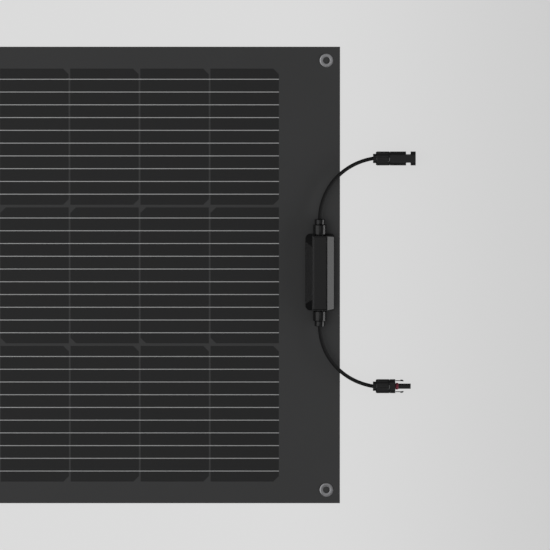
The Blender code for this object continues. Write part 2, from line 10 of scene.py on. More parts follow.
import bmesh
import bpy
from mathutils import Matrix, Vector


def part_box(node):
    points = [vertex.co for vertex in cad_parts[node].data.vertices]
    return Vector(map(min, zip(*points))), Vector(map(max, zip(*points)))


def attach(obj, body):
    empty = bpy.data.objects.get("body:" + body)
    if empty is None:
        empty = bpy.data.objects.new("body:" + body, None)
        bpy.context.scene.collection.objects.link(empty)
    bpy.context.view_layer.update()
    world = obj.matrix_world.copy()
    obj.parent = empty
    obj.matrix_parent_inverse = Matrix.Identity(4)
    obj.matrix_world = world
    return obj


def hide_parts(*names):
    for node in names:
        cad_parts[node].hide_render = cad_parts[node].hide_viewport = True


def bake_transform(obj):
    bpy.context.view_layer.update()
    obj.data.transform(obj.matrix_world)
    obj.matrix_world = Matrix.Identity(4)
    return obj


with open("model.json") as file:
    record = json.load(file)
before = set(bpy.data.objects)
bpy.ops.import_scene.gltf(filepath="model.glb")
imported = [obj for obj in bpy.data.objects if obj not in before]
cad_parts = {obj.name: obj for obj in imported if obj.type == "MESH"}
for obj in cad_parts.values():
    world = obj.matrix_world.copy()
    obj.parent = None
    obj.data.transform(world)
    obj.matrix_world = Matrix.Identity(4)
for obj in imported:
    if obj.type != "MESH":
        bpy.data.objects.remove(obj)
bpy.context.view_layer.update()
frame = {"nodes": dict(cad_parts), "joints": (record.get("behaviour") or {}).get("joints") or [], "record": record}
JOINTS = {joint["name"]: joint for joint in frame["joints"]}

MM = 0.001
FIT = 0.3 * MM

# Smoothness of round pieces. CORNER_SHARE is how much of a side a rounded corner may take.
ROUND_STEPS = 72
CABLE_SIDES = 28
CORNER_STEPS = 10
ARC_STEPS = 8
CORNER_SHARE = 0.4
SHARP_ANGLE = 32
PART_EDGE = 0.3 * MM

# Most values of a noise lie between these two
NOISE_RANGE = (0.3, 0.7)

# Sheet, cells and ribbons. A face counts as level if its normal's z is above LEVEL.
COLUMNS = 10
CELL_WIDTH = 91.5 * MM
CELL_HEIGHT = 182.5 * MM
ROW_PITCH = 185.8 * MM
CLIP = 7.5 * MM
RIBBONS = 10
RIBBON_PITCH = 17.1 * MM
RIBBON_WIDTH = 1.2 * MM
RIBBON_RISE = 0.10 * MM
RELIEF = 0.05 * MM
RELIEF_SLOPE = 0.5 * MM
CELL_FOOT = 0.065 * MM
BEND_STEP = 4 * MM
EDGE_BEVEL = 0.25 * MM
LEVEL = 0.9

# Corner eyelets
EYELET_BARREL_INSET = 3.5 * MM
EYELET_BORE_INSET = 4.5 * MM
EYELET_ROLL = 1.2 * MM
EYELET_CROWN_DROP = 0.2 * MM
EYELET_LIFT = 0.05 * MM

# Junction box
BOX_SKIRT = 11.3 * MM
BOX_RIDGE_WIDTH = 20.2 * MM
BOX_DRAFT = 0.5 * MM
BOX_END_DRAFT = 1.35 * MM
BOX_INNER_CORNER = 6.5 * MM
BOX_OUTER_CORNER = 3.5 * MM
BOX_RIDGE_CORNER = 1.2 * MM
BOX_FILLET = 0.35 * MM
BOX_EDGE = 0.18 * MM
BOX_WALL = 2 * MM
BOX_FLOOR = 1.5 * MM
BAY_FLOOR = 2 * MM
BAY_HALF_WIDTH = 7.7 * MM
BAY_HALF_LENGTH = 45.6 * MM
CHAMBER_HALF_LENGTH = 40 * MM
CHAMBER_SHOULDER = 9.9 * MM
CHAMBER_CEILING = 15.2 * MM
HIP_START = 41.4 * MM
HIP_TOE = 0.4 * MM
CUT_CLEARANCE = 2 * MM
LID_SEAT = 0.25 * MM
LID_ROUND = 2.8 * MM
LID_ROUND_TILT = radians(35)
LID_FAR_ROUND = 0.5

# Glands
GLAND_HOLE = 5.8 * MM
GLAND_HOLE_DEPTH = 12 * MM
GLAND_EDGE = 0.6 * MM
GLAND_STUB_RADIUS = 5.5 * MM
GLAND_STUB_LENGTH = 4.3 * MM
GLAND_POCKET_RADIUS = 5.1 * MM
GLAND_POCKET_FLOOR = 7.3 * MM
CAP_THREAD_RADIUS = 4.8 * MM
CAP_THREAD_LENGTH = 4.0 * MM
CAP_MOUTH_RADIUS = 3.5 * MM
CAP_MOUTH_DEPTH = 2.2 * MM

# Cables
CABLE_RADIUS = 2.45 * MM
CABLE_BORE = CABLE_RADIUS + FIT
TAIL_SHORTFALL = 2 * MM
CURVE_AT_GLAND = 36.5 * MM
CURVE_AT_COLLAR = 45.8 * MM
CURVE_STEPS = 80
STRAIGHT_STEPS = 8
ENTRY_ANGLE = radians(10)
CRIMP_START = 3 * MM

# End nuts and their grips. GRIP_FRONT is a place along the nut, from its front.
COLLAR_RADIUS = 6.2 * MM
COLLAR_LENGTH = 3.8 * MM
NUT_EDGE = 0.3 * MM
NUT_REAR_STEP = 0.7 * MM
NUT_REAR_SLOPE = 1.6 * MM
NUT_BARREL = 8.6 * MM
NUT_RIM_LENGTH = 0.5 * MM
NUT_RIM_DROP = 0.05 * MM
NUT_CAVITY_RADIUS = 6.9 * MM
NUT_CAVITY_LENGTH = 12 * MM
NUT_STEP = 0.2 * MM
NUT_REACH = 0.9 * MM
JOINT_GAP = 0.1 * MM
GRIPS = 4
GRIP_HALF_WIDTH = 6.3 * MM
GRIP_NOSE = 3.6 * MM
GRIP_FRONT = -0.45 * MM
GRIP_SLOPE = 1.7 * MM
GROOVE_PLACE = 2.8 * MM
GROOVE_HALF_WIDTH = 0.7 * MM
GROOVE_DEPTH = 0.45

# Coupler housings. Distances along them are from the joint with the end nut, forwards.
COUPLER_FLAT = 8.6 * MM
COUPLER_FLAT_SHARP = 15
COUPLER_EDGE = 0.12 * MM
REAR_RADIUS = 6.6 * MM
REAR_BORE = 5.6 * MM
REAR_FLOOR = -2 * MM
SHELL_THROAT = 12.6 * MM
SHELL_BORE = 4.3 * MM
SHELL_MOUTH_RADIUS = 5.0 * MM
SHELL_MOUTH_DEPTH = 0.7 * MM
SHELL_SOFT_EDGE = 0.15 * MM
WINDOW_PLACE = 25.0 * MM
WINDOW_LENGTH = 6.2 * MM
WINDOW_DEPTH = 4.3 * MM
WINDOW_ROUNDING = 0.9 * MM
PROBE_RADIUS = 3.5 * MM
PROBE_BORE = 2.4 * MM
PROBE_THROAT = 3 * MM
PROBE_THROAT_END = 3.3 * MM
RING_CLEARANCE = 0.25 * MM
RING_TAPER = 0.35 * MM
RING_EDGE = 0.5 * MM

# Latch arms. Distances along them are from the tip, backwards.
ARM_SHAFT = 0.6 * MM
ARM_TIP_INSET = 0.1 * MM
ARM_TIP_WIDTH = 1.1 * MM
ARM_TIP_TAPER = 3.0 * MM
BARB_RISE = 0.9 * MM
BARB_BACK = 4.4 * MM
BARB_BACK_TOP = 4.1 * MM
BARB_FRONT_TOP = 1.5 * MM

# Where the camera looks, from how far and how much it leans towards +Y, and the width that it sees
VIEW_CENTRE = (0.4408, 0.0005)
VIEW_WIDTH = 0.7343
VIEW_LEAN = radians(5.5)
CAMERA_DISTANCE = 20.0
SENSOR_WIDTH = 36.0

# The floor's own glow, and the two values of x between which it fades
FLOOR_SIZE = 90
FLOOR_FADE = (0.42, 0.92)
FLOOR_GLOW = (0.676, 0.570)

# Soft lights round the box: bearing and height angle in degrees, size in metres, and radiance
SOFTBOX_DISTANCE = 3.0
SOFTBOXES = {
    "right_softbox": (-15, 12, (4.6, 1.6), 2.62),
    "left_softbox": (180, 46, (3.0, 3.05), 0.80),
    "front_softbox": (-90, 40, (2.4, 1.6), 0.38),
    "back_softbox": (90, 40, (2.4, 1.6), 0.28),
    "top_softbox": (90, 88, (1.8, 1.8), 0.26),
}
WORLD_STRENGTH = 0.12


def body_joint(name):
    """The position of a joint of the frame."""
    return Vector(JOINTS[name]["pos_m"])


HINGES = [body_joint(f"bow_{i}").x for i in range(1, COLUMNS)]
COLUMN_PITCH = HINGES[0] - HINGES[1]
COLUMN_GAP = COLUMN_PITCH - CELL_WIDTH
SHEET_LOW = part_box("back_sheet_10")[0]
SHEET_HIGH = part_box("front_film_01")[1]
SHEET_TOP = SHEET_HIGH.z
FIELD_HIGH = HINGES[0] + COLUMN_GAP / 2 + CELL_WIDTH
FIELD_LOW = HINGES[-1] - COLUMN_GAP / 2 - CELL_WIDTH


# Shader building


class Shader:
    """A material's node tree, with the Principled shader ready and short ways to add nodes."""

    def __init__(self, name, roughness, specular=0.5, metallic=0.0):
        self.material = bpy.data.materials.new(name)
        self.material.use_nodes = True
        self.tree = self.material.node_tree
        self.surface = self.tree.nodes["Principled BSDF"]
        self.surface.inputs["Roughness"].default_value = roughness
        self.surface.inputs["Specular IOR Level"].default_value = specular
        self.surface.inputs["Metallic"].default_value = metallic

    def node(self, kind, **inputs):
        """Adds a node and sets or links its inputs by name."""
        node = self.tree.nodes.new(kind)
        for name, value in inputs.items():
            self.feed(node.inputs[name], value)
        return node

    def feed(self, socket, value):
        """Links a socket to another node's output, or sets its value."""
        if isinstance(value, bpy.types.NodeSocket):
            self.tree.links.new(value, socket)
        else:
            socket.default_value = value

    def coordinates(self, kind="Object"):
        """A texture coordinate of this kind."""
        return self.tree.nodes.new("ShaderNodeTexCoord").outputs[kind]

    def stretched(self, vector, scale):
        """The same coordinate, scaled along each axis."""
        return self.node("ShaderNodeMapping", Vector=vector, Scale=scale).outputs["Vector"]

    def noise(self, vector, scale, detail=2.0):
        """Noise with this many features in a metre."""
        return self.node("ShaderNodeTexNoise", Vector=vector, Scale=scale, Detail=detail).outputs["Fac"]

    def bands(self, vector, pitch, direction):
        """Even bands across one direction, 0 to 1. The node's own pitch is pi / 10."""
        node = self.node("ShaderNodeTexWave", Vector=vector, Scale=pi / 10 / pitch)
        node.bands_direction = direction
        return node.outputs["Fac"]

    def span(self, value, source, target, smooth=False):
        """The value, moved from the source range to the target range."""
        node = self.node("ShaderNodeMapRange", Value=value)
        if smooth:
            node.interpolation_type = "SMOOTHSTEP"
        for name, number in zip(("From Min", "From Max", "To Min", "To Max"), (*source, *target)):
            node.inputs[name].default_value = number
        return node.outputs["Result"]

    def mix(self, factor, first, second):
        """A colour between two others."""
        node = self.tree.nodes.new("ShaderNodeMix")
        node.data_type = "RGBA"
        ends = [(*end, 1) if isinstance(end, tuple) else end for end in (first, second)]
        for name, value in zip(("Factor", "A", "B"), (factor, *ends)):
            sockets = [socket for socket in node.inputs if socket.name == name and socket.enabled]
            self.feed(sockets[0], value)
        return next(socket for socket in node.outputs if socket.enabled)

    def bump(self, height, distance, strength=1.0):
        """Raises the surface by the height, this far at most."""
        node = self.node("ShaderNodeBump", Height=height, Distance=distance, Strength=strength)
        self.feed(self.surface.inputs["Normal"], node.outputs["Normal"])
        return self

    def colour(self, value):
        """Feeds the surface's colour."""
        self.feed(self.surface.inputs["Base Color"], value)

    def vary_roughness(self, value, spread):
        """Makes the roughness vary about its own value as a noise does."""
        socket = self.surface.inputs["Roughness"]
        middle = socket.default_value
        self.feed(socket, self.span(value, NOISE_RANGE, (middle - spread, middle + spread)))


def shade_of(colour, factor):
    """The colour made lighter or darker."""
    return tuple(min(1.0, part * factor) for part in colour)


def moulded(name, colour, roughness):
    """Moulded plastic: a fine spark-eroded grain and a faint cloudiness."""
    shader = Shader(name, roughness)
    place = shader.coordinates()
    cloud = shader.span(shader.noise(place, 60.0), (0.35, 0.75), (0.0, 1.0))
    shader.colour(shader.mix(cloud, colour, shade_of(colour, 1.2)))
    grain = shader.noise(place, 2800.0)
    shader.vary_roughness(grain, 0.05)
    return shader.bump(grain, 0.02 * MM, 0.5).material


def film_over_margin():
    """The clear matte film over the dark sheet: an even grey with a very fine emboss."""
    shader = Shader("film_margin", 0.5, 0.4)
    place = shader.coordinates("UV")
    colour = (0.0635, 0.0640, 0.0650)
    cloud = shader.noise(place, 9.0, 3.0)
    shader.colour(shader.mix(cloud, shade_of(colour, 0.95), shade_of(colour, 1.05)))
    emboss = shader.noise(place, 1600.0, 1.0)
    shader.vary_roughness(emboss, 0.04)
    return shader.bump(emboss, 0.02 * MM, 0.5).material


def cell_silicon():
    """A silicon cell under the film: near black, with its fine printed fingers across the ribbons."""
    shader = Shader("cell_silicon", 0.44, 0.4)
    place = shader.coordinates("UV")
    colour = (0.0200, 0.0202, 0.0207)
    base = shader.mix(shader.noise(place, 14.0), shade_of(colour, 0.94), shade_of(colour, 1.06))
    finger = shader.span(shader.bands(place, 1.6 * MM, "X"), (0.9, 1.0), (0.0, 0.12))
    shader.colour(shader.mix(finger, base, shade_of(colour, 2.5)))
    emboss = shader.noise(place, 1600.0, 1.0)
    shader.vary_roughness(emboss, 0.04)
    return shader.bump(emboss, 0.015 * MM, 0.4).material


def ribbon_metal():
    """A tinned copper ribbon seen through the film."""
    shader = Shader("ribbon_metal", 0.32, metallic=1.0)
    streak = shader.noise(shader.stretched(shader.coordinates("UV"), (6.0, 220.0, 1.0)), 1.0)
    colour = (0.700, 0.705, 0.710)
    shader.colour(shader.mix(streak, shade_of(colour, 0.9), shade_of(colour, 1.1)))
    return shader.bump(streak, 0.02 * MM, 0.3).material


def back_composite():
    """The glass-fibre filled back sheet: charcoal, with the fine plain weave of its cloth."""
    shader = Shader("back_composite", 0.6)
    place = shader.coordinates("UV")
    weave = shader.node("ShaderNodeMath", Value=shader.bands(place, 1.6 * MM, "X"))
    weave.operation = "MULTIPLY"
    shader.feed(weave.inputs[1], shader.bands(place, 1.6 * MM, "Y"))
    shader.colour(shader.mix(weave.outputs[0], (0.024, 0.024, 0.025), (0.040, 0.040, 0.042)))
    return shader.bump(weave.outputs[0], 0.05 * MM, 0.5).material


def laminate_edge():
    """The sheet's cut edge: dark, a little rougher than its faces."""
    shader = Shader("laminate_edge", 0.65)
    layers = shader.noise(shader.coordinates(), 900.0)
    shader.colour(shader.mix(layers, (0.020, 0.020, 0.021), (0.040, 0.040, 0.041)))
    return shader.bump(layers, 0.05 * MM, 0.5).material


def cable_rubber():
    """The cable's extruded jacket, with a faintly matte skin."""
    shader = Shader("cable_rubber", 0.72, 0.28)
    place = shader.coordinates("UV")
    colour = (0.0100, 0.0100, 0.0104)
    shader.colour(shader.mix(shader.noise(place, 40.0, 3.0), colour, shade_of(colour, 1.4)))
    skin = shader.noise(place, 900.0)
    shader.vary_roughness(skin, 0.06)
    return shader.bump(skin, 0.02 * MM, 0.5).material


def soft_rubber(name, colour, roughness):
    """A moulded rubber seal."""
    shader = Shader(name, roughness)
    skin = shader.noise(shader.coordinates(), 1500.0)
    shader.colour(shader.mix(skin, shade_of(colour, 0.8), colour))
    return shader.bump(skin, 0.02 * MM, 0.5).material


def plated_metal(name, colour, roughness):
    """Plated metal with fine turned scratches."""
    shader = Shader(name, roughness, metallic=1.0)
    scratch = shader.noise(shader.coordinates(), 2500.0, 4.0)
    shader.colour(shader.mix(scratch, shade_of(colour, 0.8), colour))
    shader.vary_roughness(scratch, 0.06)
    return shader.bump(scratch, 0.01 * MM, 0.4).material


MATERIALS = {
    "front_film": film_over_margin(),
    "cells": cell_silicon(),
    "ribbons": ribbon_metal(),
    "back_sheet": back_composite(),
    "edge": laminate_edge(),
    "box_plastic": moulded("box_plastic", (0.0070, 0.0070, 0.0074), 0.22),
    "coupler_plastic": moulded("coupler_plastic", (0.0106, 0.0106, 0.0111), 0.27),
    "cable_jacket": cable_rubber(),
    "seal_rubber": soft_rubber("seal_rubber", (0.020, 0.020, 0.020), 0.8),
    "red_seal": soft_rubber("red_seal", (0.300, 0.030, 0.060), 0.5),
    "eyelet_metal": plated_metal("eyelet_metal", (0.56, 0.56, 0.58), 0.30),
    "contact_metal": plated_metal("contact_metal", (0.64, 0.62, 0.58), 0.25),
    "diode_body": moulded("diode_body", (0.03, 0.03, 0.032), 0.5),
}


# Mesh building


def new_object(name, bm, *materials, smooth=False, thin=False):
    """An object from a bmesh, which is used up. Faces are turned outwards, unless it's a thin plate."""
    if not thin:
        bmesh.ops.recalc_face_normals(bm, faces=bm.faces)
    mesh = bpy.data.meshes.new(name)
    bm.to_mesh(mesh)
    bm.free()
    for material in materials:
        mesh.materials.append(MATERIALS[material])
    if smooth:
        soft_shading(mesh)
    obj = bpy.data.objects.new(name, mesh)
    bpy.context.scene.collection.objects.link(obj)
    return obj


def soft_shading(mesh, sharp=SHARP_ANGLE):
    """Shades the mesh smooth, apart from its edges over this many degrees."""
    mesh.shade_smooth()
    mesh.set_sharp_from_angle(angle=radians(sharp))


def bridge(bm, first, second):
    """The faces between two closed rows of vertices of the same length."""
    for i in range(len(first)):
        j = (i + 1) % len(first)
        bm.faces.new((first[i], first[j], second[j], second[i]))


def carve(obj, cutters, sharp=SHARP_ANGLE):
    """Takes the cutters' shapes out of obj and removes them. Edges over `sharp` degrees stay sharp."""
    for cutter in cutters:
        modifier = obj.modifiers.new("cut", "BOOLEAN")
        modifier.operation = "DIFFERENCE"
        modifier.object = cutter
    apply_modifiers(obj)
    for cutter in cutters:
        bpy.data.objects.remove(cutter, do_unlink=True)
    soft_shading(obj.data, sharp)


def apply_modifiers(obj):
    """Makes what the modifiers show the object's own mesh."""
    shown = obj.evaluated_get(bpy.context.evaluated_depsgraph_get())
    obj.data = bpy.data.meshes.new_from_object(shown)
    obj.modifiers.clear()


def soften_edges(obj, width):
    """Rounds the sharp edges of a piece."""
    bevel = obj.modifiers.new("soft edges", "BEVEL")
    bevel.limit_method = "ANGLE"
    bevel.angle_limit = radians(SHARP_ANGLE)
    bevel.width = width
    bevel.segments = 2


def plan_uv(bm):
    """Gives every face corner its place in plan, in metres, as its texture coordinate."""
    layer = bm.loops.layers.uv.new("UVMap")
    for face in bm.faces:
        for loop in face.loops:
            loop[layer].uv = loop.vert.co.xy


def even_steps(low, high, step):
    """Evenly spaced numbers from low to high, about step apart or closer."""
    # 0.49 rounds up, but not for a hair over a whole number
    count = max(1, round((high - low) / step + 0.49))
    return [low + (high - low) * i / count for i in range(count + 1)]


def rounded(profile, radius):
    """A closed outline with each corner made a short curve, as far as its sides have room."""
    points = []
    for i, point in enumerate(profile):
        corner = Vector(point)
        sides = [Vector(profile[i - 1]) - corner, Vector(profile[(i + 1) % len(profile)]) - corner]
        before, after = [corner + side * min(CORNER_SHARE, radius / side.length) for side in sides]
        for t in (0.0, 0.5, 1.0):
            points.append(before.lerp(corner, t).lerp(corner.lerp(after, t), t))
    return points


def turned(name, profile, place, material, edge=PART_EDGE):
    """A ring-shaped piece turned about the Z axis of place from a closed outline of (radius, height)."""
    bm = bmesh.new()
    outline = rounded(profile, edge)
    rings = []
    for step in range(ROUND_STEPS):
        angle = 2 * pi * step / ROUND_STEPS
        rings.append([bm.verts.new((r * cos(angle), r * sin(angle), z)) for r, z in outline])
    for i, ring in enumerate(rings):
        bridge(bm, ring, rings[(i + 1) % ROUND_STEPS])
    obj = new_object(name, bm, material, smooth=True)
    obj.matrix_world = place
    return obj


def stand(origin, axis):
    """A place at origin whose Z axis points along a level axis, and whose X axis points up."""
    up = Vector((0, 0, 1))
    across = axis.cross(up)
    turn = Matrix((up, across, axis)).transposed().to_4x4()
    return Matrix.Translation(origin) @ turn


def rigid(obj, body, node):
    """Hangs a rigid piece on its body, and hides the CAD node that it replaces."""
    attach(obj, body)
    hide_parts(node)


# The laminate


def span_edges():
    """The x where one span meets the next: the sheet's ends and the middle of each cell column."""
    middles = [FIELD_HIGH - CELL_WIDTH / 2 - i * COLUMN_PITCH for i in range(COLUMNS)]
    return [SHEET_HIGH.x, *middles, SHEET_LOW.x]


def place_span(obj, number):
    """Hangs a piece of an end span on its body, or bakes a middle span's placement into its mesh."""
    strips = ["root"] + [f"strip_{i:02d}" for i in range(2, COLUMNS + 1)]
    if number in (0, COLUMNS):
        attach(obj, strips[0] if number == 0 else strips[-1])
    else:
        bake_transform(obj)


def make_slab(number, x_high, x_low):
    """The laminate itself in one span: margin film on top, cut edges, back sheet below."""
    bm = bmesh.new()
    y, top, bevel = SHEET_HIGH.y, SHEET_TOP - RELIEF, EDGE_BEVEL
    half = [(y - bevel, top), (y, top - bevel), (y, bevel), (y - bevel, 0)]
    section = half + [(-sy, sz) for sy, sz in reversed(half)]
    rings = [
        [bm.verts.new((x, sy, sz)) for sy, sz in section] for x in even_steps(x_low, x_high, BEND_STEP)
    ]
    add_plate(bm, rings)
    edge, back = 1, 2
    for face in bm.faces:
        face.normal_update()
        middle = face.calc_center_median()
        if abs(face.normal.z) < LEVEL:
            face.material_index = edge
        elif middle.z < top / 2:
            face.material_index = back
    plan_uv(bm)
    return new_object(f"laminate_{number:02d}", bm, "front_film", "edge", "back_sheet", thin=True)


def cell_rows():
    """(row's middle y, True if its clipped corners face +X) of each row, from +Y down."""
    return [(ROW_PITCH, True), (0.0, False), (-ROW_PITCH, True)]


def add_cell_part(bm, span, cell, middle, clip_high):
    """The part of one cell in one span: a plate whose edges slope down to the film."""
    x_low, x_high = max(span[0], cell[0]), min(span[1], cell[1])
    stops = set(even_steps(x_low, x_high, BEND_STEP))
    for edge, inward in ((cell[0], 1), (cell[1], -1)):
        for offset in (RELIEF_SLOPE, CLIP):
            if x_low < edge + inward * offset < x_high:
                stops.add(edge + inward * offset)
    foot = SHEET_TOP - CELL_FOOT
    rows = []
    for x in sorted(stops):
        from_clip = (cell[1] - x) if clip_high else (x - cell[0])
        half = CELL_HEIGHT / 2 - max(0.0, CLIP - from_clip)
        on_edge = min(abs(x - cell[0]), abs(x - cell[1])) < RELIEF
        crown = foot if on_edge else SHEET_TOP
        inner = half - RELIEF_SLOPE
        outline = [(-half, foot), (-inner, crown), (inner, crown), (half, foot)]
        rows.append([bm.verts.new((x, middle + y, z)) for y, z in outline])
    add_plate(bm, rows)


def add_plate(bm, rows):
    """A closed body through rows of points, which faces out if each row is clockwise seen from the next."""
    for first, second in zip(rows, rows[1:]):
        bridge(bm, second, first)
    bm.faces.new(rows[0])
    bm.faces.new(reversed(rows[-1]))


def make_cells(number, x_high, x_low):
    """The cells' parts that lie in one span."""
    bm = bmesh.new()
    for column in range(COLUMNS):
        high = FIELD_HIGH - column * COLUMN_PITCH
        cell = (high - CELL_WIDTH, high)
        if cell[0] < x_high - MM and cell[1] > x_low + MM:
            for middle, clip_high in cell_rows():
                add_cell_part(bm, (x_low, x_high), cell, middle, clip_high)
    plan_uv(bm)
    return new_object(f"cells_{number:02d}", bm, "cells", thin=True)


def make_ribbons(number, x_high, x_low):
    """The busbar ribbons that run along every row, low and slightly rounded."""
    low, high = max(x_low, FIELD_LOW), min(x_high, FIELD_HIGH)
    bm = bmesh.new()
    base, top, half = SHEET_TOP - RELIEF / 2, SHEET_TOP + RIBBON_RISE, RIBBON_WIDTH / 2
    outline = [(-half, base), (-half / 2, top), (half / 2, top), (half, base)]
    for middle, _ in cell_rows():
        for i in range(RIBBONS):
            centre = middle + (i - (RIBBONS - 1) / 2) * RIBBON_PITCH
            rows = [
                [bm.verts.new((x, centre + y, z)) for y, z in outline]
                for x in even_steps(low, high, BEND_STEP)
            ]
            add_plate(bm, rows)
    plan_uv(bm)
    return new_object(f"ribbons_{number:02d}", bm, "ribbons", thin=True)


def make_laminate():
    """Every span of the laminate, with the CAD nodes that it replaces hidden."""
    edges = span_edges()
    for number, (x_high, x_low) in enumerate(zip(edges, edges[1:])):
        node = min(number + 1, COLUMNS)
        slab = make_slab(number, x_high, x_low)
        place_span(slab, number)
        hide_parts(f"front_film_{node:02d}", f"back_sheet_{node:02d}")
        cells = make_cells(number, x_high, x_low)
        place_span(cells, number)
        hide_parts(f"cell_layer_{node:02d}")
        place_span(make_ribbons(number, x_high, x_low), number)


def make_eyelets():
    """The flanged eyelet in each corner."""
    for number in range(1, 5):
        name = f"eyelet_{number:02d}"
        low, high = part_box(name)
        middle = (low + high) / 2
        flange, crown, foot = (high.x - low.x) / 2, high.z, low.z
        barrel, bore = flange - EYELET_BARREL_INSET, flange - EYELET_BORE_INSET
        profile = [
            (flange, crown - EYELET_CROWN_DROP),
            (flange, SHEET_TOP + EYELET_LIFT),
            (barrel, SHEET_TOP + EYELET_LIFT),
            (barrel, foot),
            (bore, foot),
            (bore, crown),
            (flange - EYELET_ROLL, crown),
        ]
        place = Matrix.Translation((middle.x, middle.y, 0))
        eyelet = turned(f"corner_{name}", profile, place, "eyelet_metal")
        rigid(eyelet, "root" if middle.x > 0 else "strip_10", name)


# Junction box


def rounded_ring(low, high, radii, z):
    """A rounded rectangle at height z, anticlockwise. The radii are for the corners at +X and -X."""
    points = []
    for turn, (sx, sy) in enumerate([(1, 1), (-1, 1), (-1, -1), (1, -1)]):
        radius = radii[0] if sx > 0 else radii[1]
        x = high.x - radius if sx > 0 else low.x + radius
        y = high.y - radius if sy > 0 else low.y + radius
        for step in range(CORNER_STEPS + 1):
            angle = (turn + step / CORNER_STEPS) * pi / 2
            points.append(Vector((x + radius * cos(angle), y + radius * sin(angle), z)))
    return points


def loft(name, rings):
    """A closed solid of the box's plastic through rings of points."""
    bm = bmesh.new()
    rows = [[bm.verts.new(point) for point in ring] for ring in rings]
    for first, second in zip(rows, rows[1:]):
        bridge(bm, first, second)
    bm.faces.new(rows[0])
    bm.faces.new(rows[-1])
    return new_object(name, bm, "box_plastic", smooth=True)


def box_section(low, high):
    """(half width, half length, height) up the housing: skirt, slope and the fillet over to the ridge."""
    half_width, half_length = (high.x - low.x) / 2, (high.y - low.y) / 2
    ridge = BOX_RIDGE_WIDTH / 2
    shoulder = Vector((half_width - BOX_DRAFT, low.z + BOX_SKIRT))
    slope = atan2(high.z - shoulder.y, shoulder.x - ridge)
    centre = Vector((ridge - BOX_FILLET * tan(slope / 2), high.z - BOX_FILLET))
    end = half_length - BOX_END_DRAFT
    section = [(half_width, half_length, low.z), (shoulder.x, end, shoulder.y)]
    for i in range(ARC_STEPS + 1):
        angle = slope * (1 - i / ARC_STEPS)
        x = centre.x + BOX_FILLET * sin(angle)
        z = centre.y + BOX_FILLET * cos(angle)
        section.append((x, end - BOX_EDGE * (i / ARC_STEPS) ** 2, z))
    return section


def hip_cutter(low, high, middle, side):
    """The wedge that takes one end off the slope towards the cells."""
    toe = (high.y - low.y) / 2
    fall = (BOX_SKIRT - HIP_TOE) / (toe - HIP_START)
    peak = high.z + CUT_CLEARANCE
    outline = [
        (HIP_START - (peak - low.z - BOX_SKIRT) / fall, peak),
        (toe + CUT_CLEARANCE, low.z + HIP_TOE - CUT_CLEARANCE * fall),
        (toe + CUT_CLEARANCE, peak),
    ]
    outside, ridge = low.x - CUT_CLEARANCE, middle.x - BOX_RIDGE_WIDTH / 2 - FIT
    rings = [[Vector((x, middle.y + side * y, z)) for y, z in outline] for x in (outside, ridge)]
    return loft("hip", rings)


def chamber_cutters(low, high, middle):
    """The space inside the housing: a wide chamber, and the narrow bays that run on to the end walls."""
    sharp, soft = (BOX_RIDGE_CORNER,) * 2, (BOX_INNER_CORNER - BOX_WALL,) * 2
    wide = Vector(((high.x - low.x) / 2 - BOX_WALL, CHAMBER_HALF_LENGTH, 0))
    bay = Vector((BAY_HALF_WIDTH, BAY_HALF_LENGTH, 0))
    ceiling = Vector((BAY_HALF_WIDTH - BOX_WALL / 2, CHAMBER_HALF_LENGTH - 1.5 * BOX_WALL, 0))
    chamber = [
        rounded_ring(middle - wide, middle + wide, soft, low.z + BOX_FLOOR),
        rounded_ring(middle - wide, middle + wide, soft, low.z + CHAMBER_SHOULDER),
        rounded_ring(middle - ceiling, middle + ceiling, sharp, low.z + CHAMBER_CEILING),
    ]
    heights = (low.z + BAY_FLOOR, high.z + CUT_CLEARANCE)
    bays = [rounded_ring(middle - bay, middle + bay, sharp, z) for z in heights]
    return [loft("chamber", chamber), loft("bays", bays)]


def recess_cutter(top):
    """The recess that the lid drops into, open at the top."""
    low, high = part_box("box_lid")
    gap = Vector((FIT, FIT, 0))
    corners = (BOX_RIDGE_CORNER,) * 2
    heights = (low.z - FIT, top + CUT_CLEARANCE)
    return loft("recess", [rounded_ring(low - gap, high + gap, corners, z) for z in heights])


def gland_hole(centre, side):
    """The hole for one gland: centre is where the gland's axis meets the end wall."""
    rings = []
    for y in (centre.y - side * GLAND_HOLE_DEPTH, centre.y + side * CUT_CLEARANCE):
        rings.append([])
        for step in range(ROUND_STEPS):
            angle = 2 * pi * step / ROUND_STEPS
            x, z = centre.x + GLAND_HOLE * cos(angle), centre.z + GLAND_HOLE * sin(angle)
            rings[-1].append(Vector((x, y, z)))
    return loft("gland_hole", rings)


def make_housing():
    """The housing, hollow below the lid's seat, with a hole in each end for its gland."""
    low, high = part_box("box_housing")
    middle = (low + high) / 2
    rings = []
    for half_width, half_length, z in box_section(low, high):
        reach = Vector((half_width, half_length, 0))
        inset = 1 - min(1.0, max(0.0, (z - low.z - BOX_SKIRT) / (high.z - low.z - BOX_SKIRT)))
        radii = [
            BOX_RIDGE_CORNER + (corner - BOX_RIDGE_CORNER) * inset
            for corner in (BOX_OUTER_CORNER, BOX_INNER_CORNER)
        ]
        rings.append(rounded_ring(middle - reach, middle + reach, radii, z))
    housing = loft("junction_box", rings)
    cutters = [recess_cutter(high.z), *chamber_cutters(low, high, middle)]
    for lead, side, wall in (("pin", 1, high.y), ("socket", -1, low.y)):
        gland_low, gland_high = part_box(f"{lead}_gland_body")
        cutters.append(hip_cutter(low, high, middle, side))
        cutters.append(gland_hole(Vector((middle.x, wall, (gland_low.z + gland_high.z) / 2)), side))
    carve(housing, cutters)
    soften_edges(housing, BOX_EDGE)
    rigid(housing, "root", "box_housing")


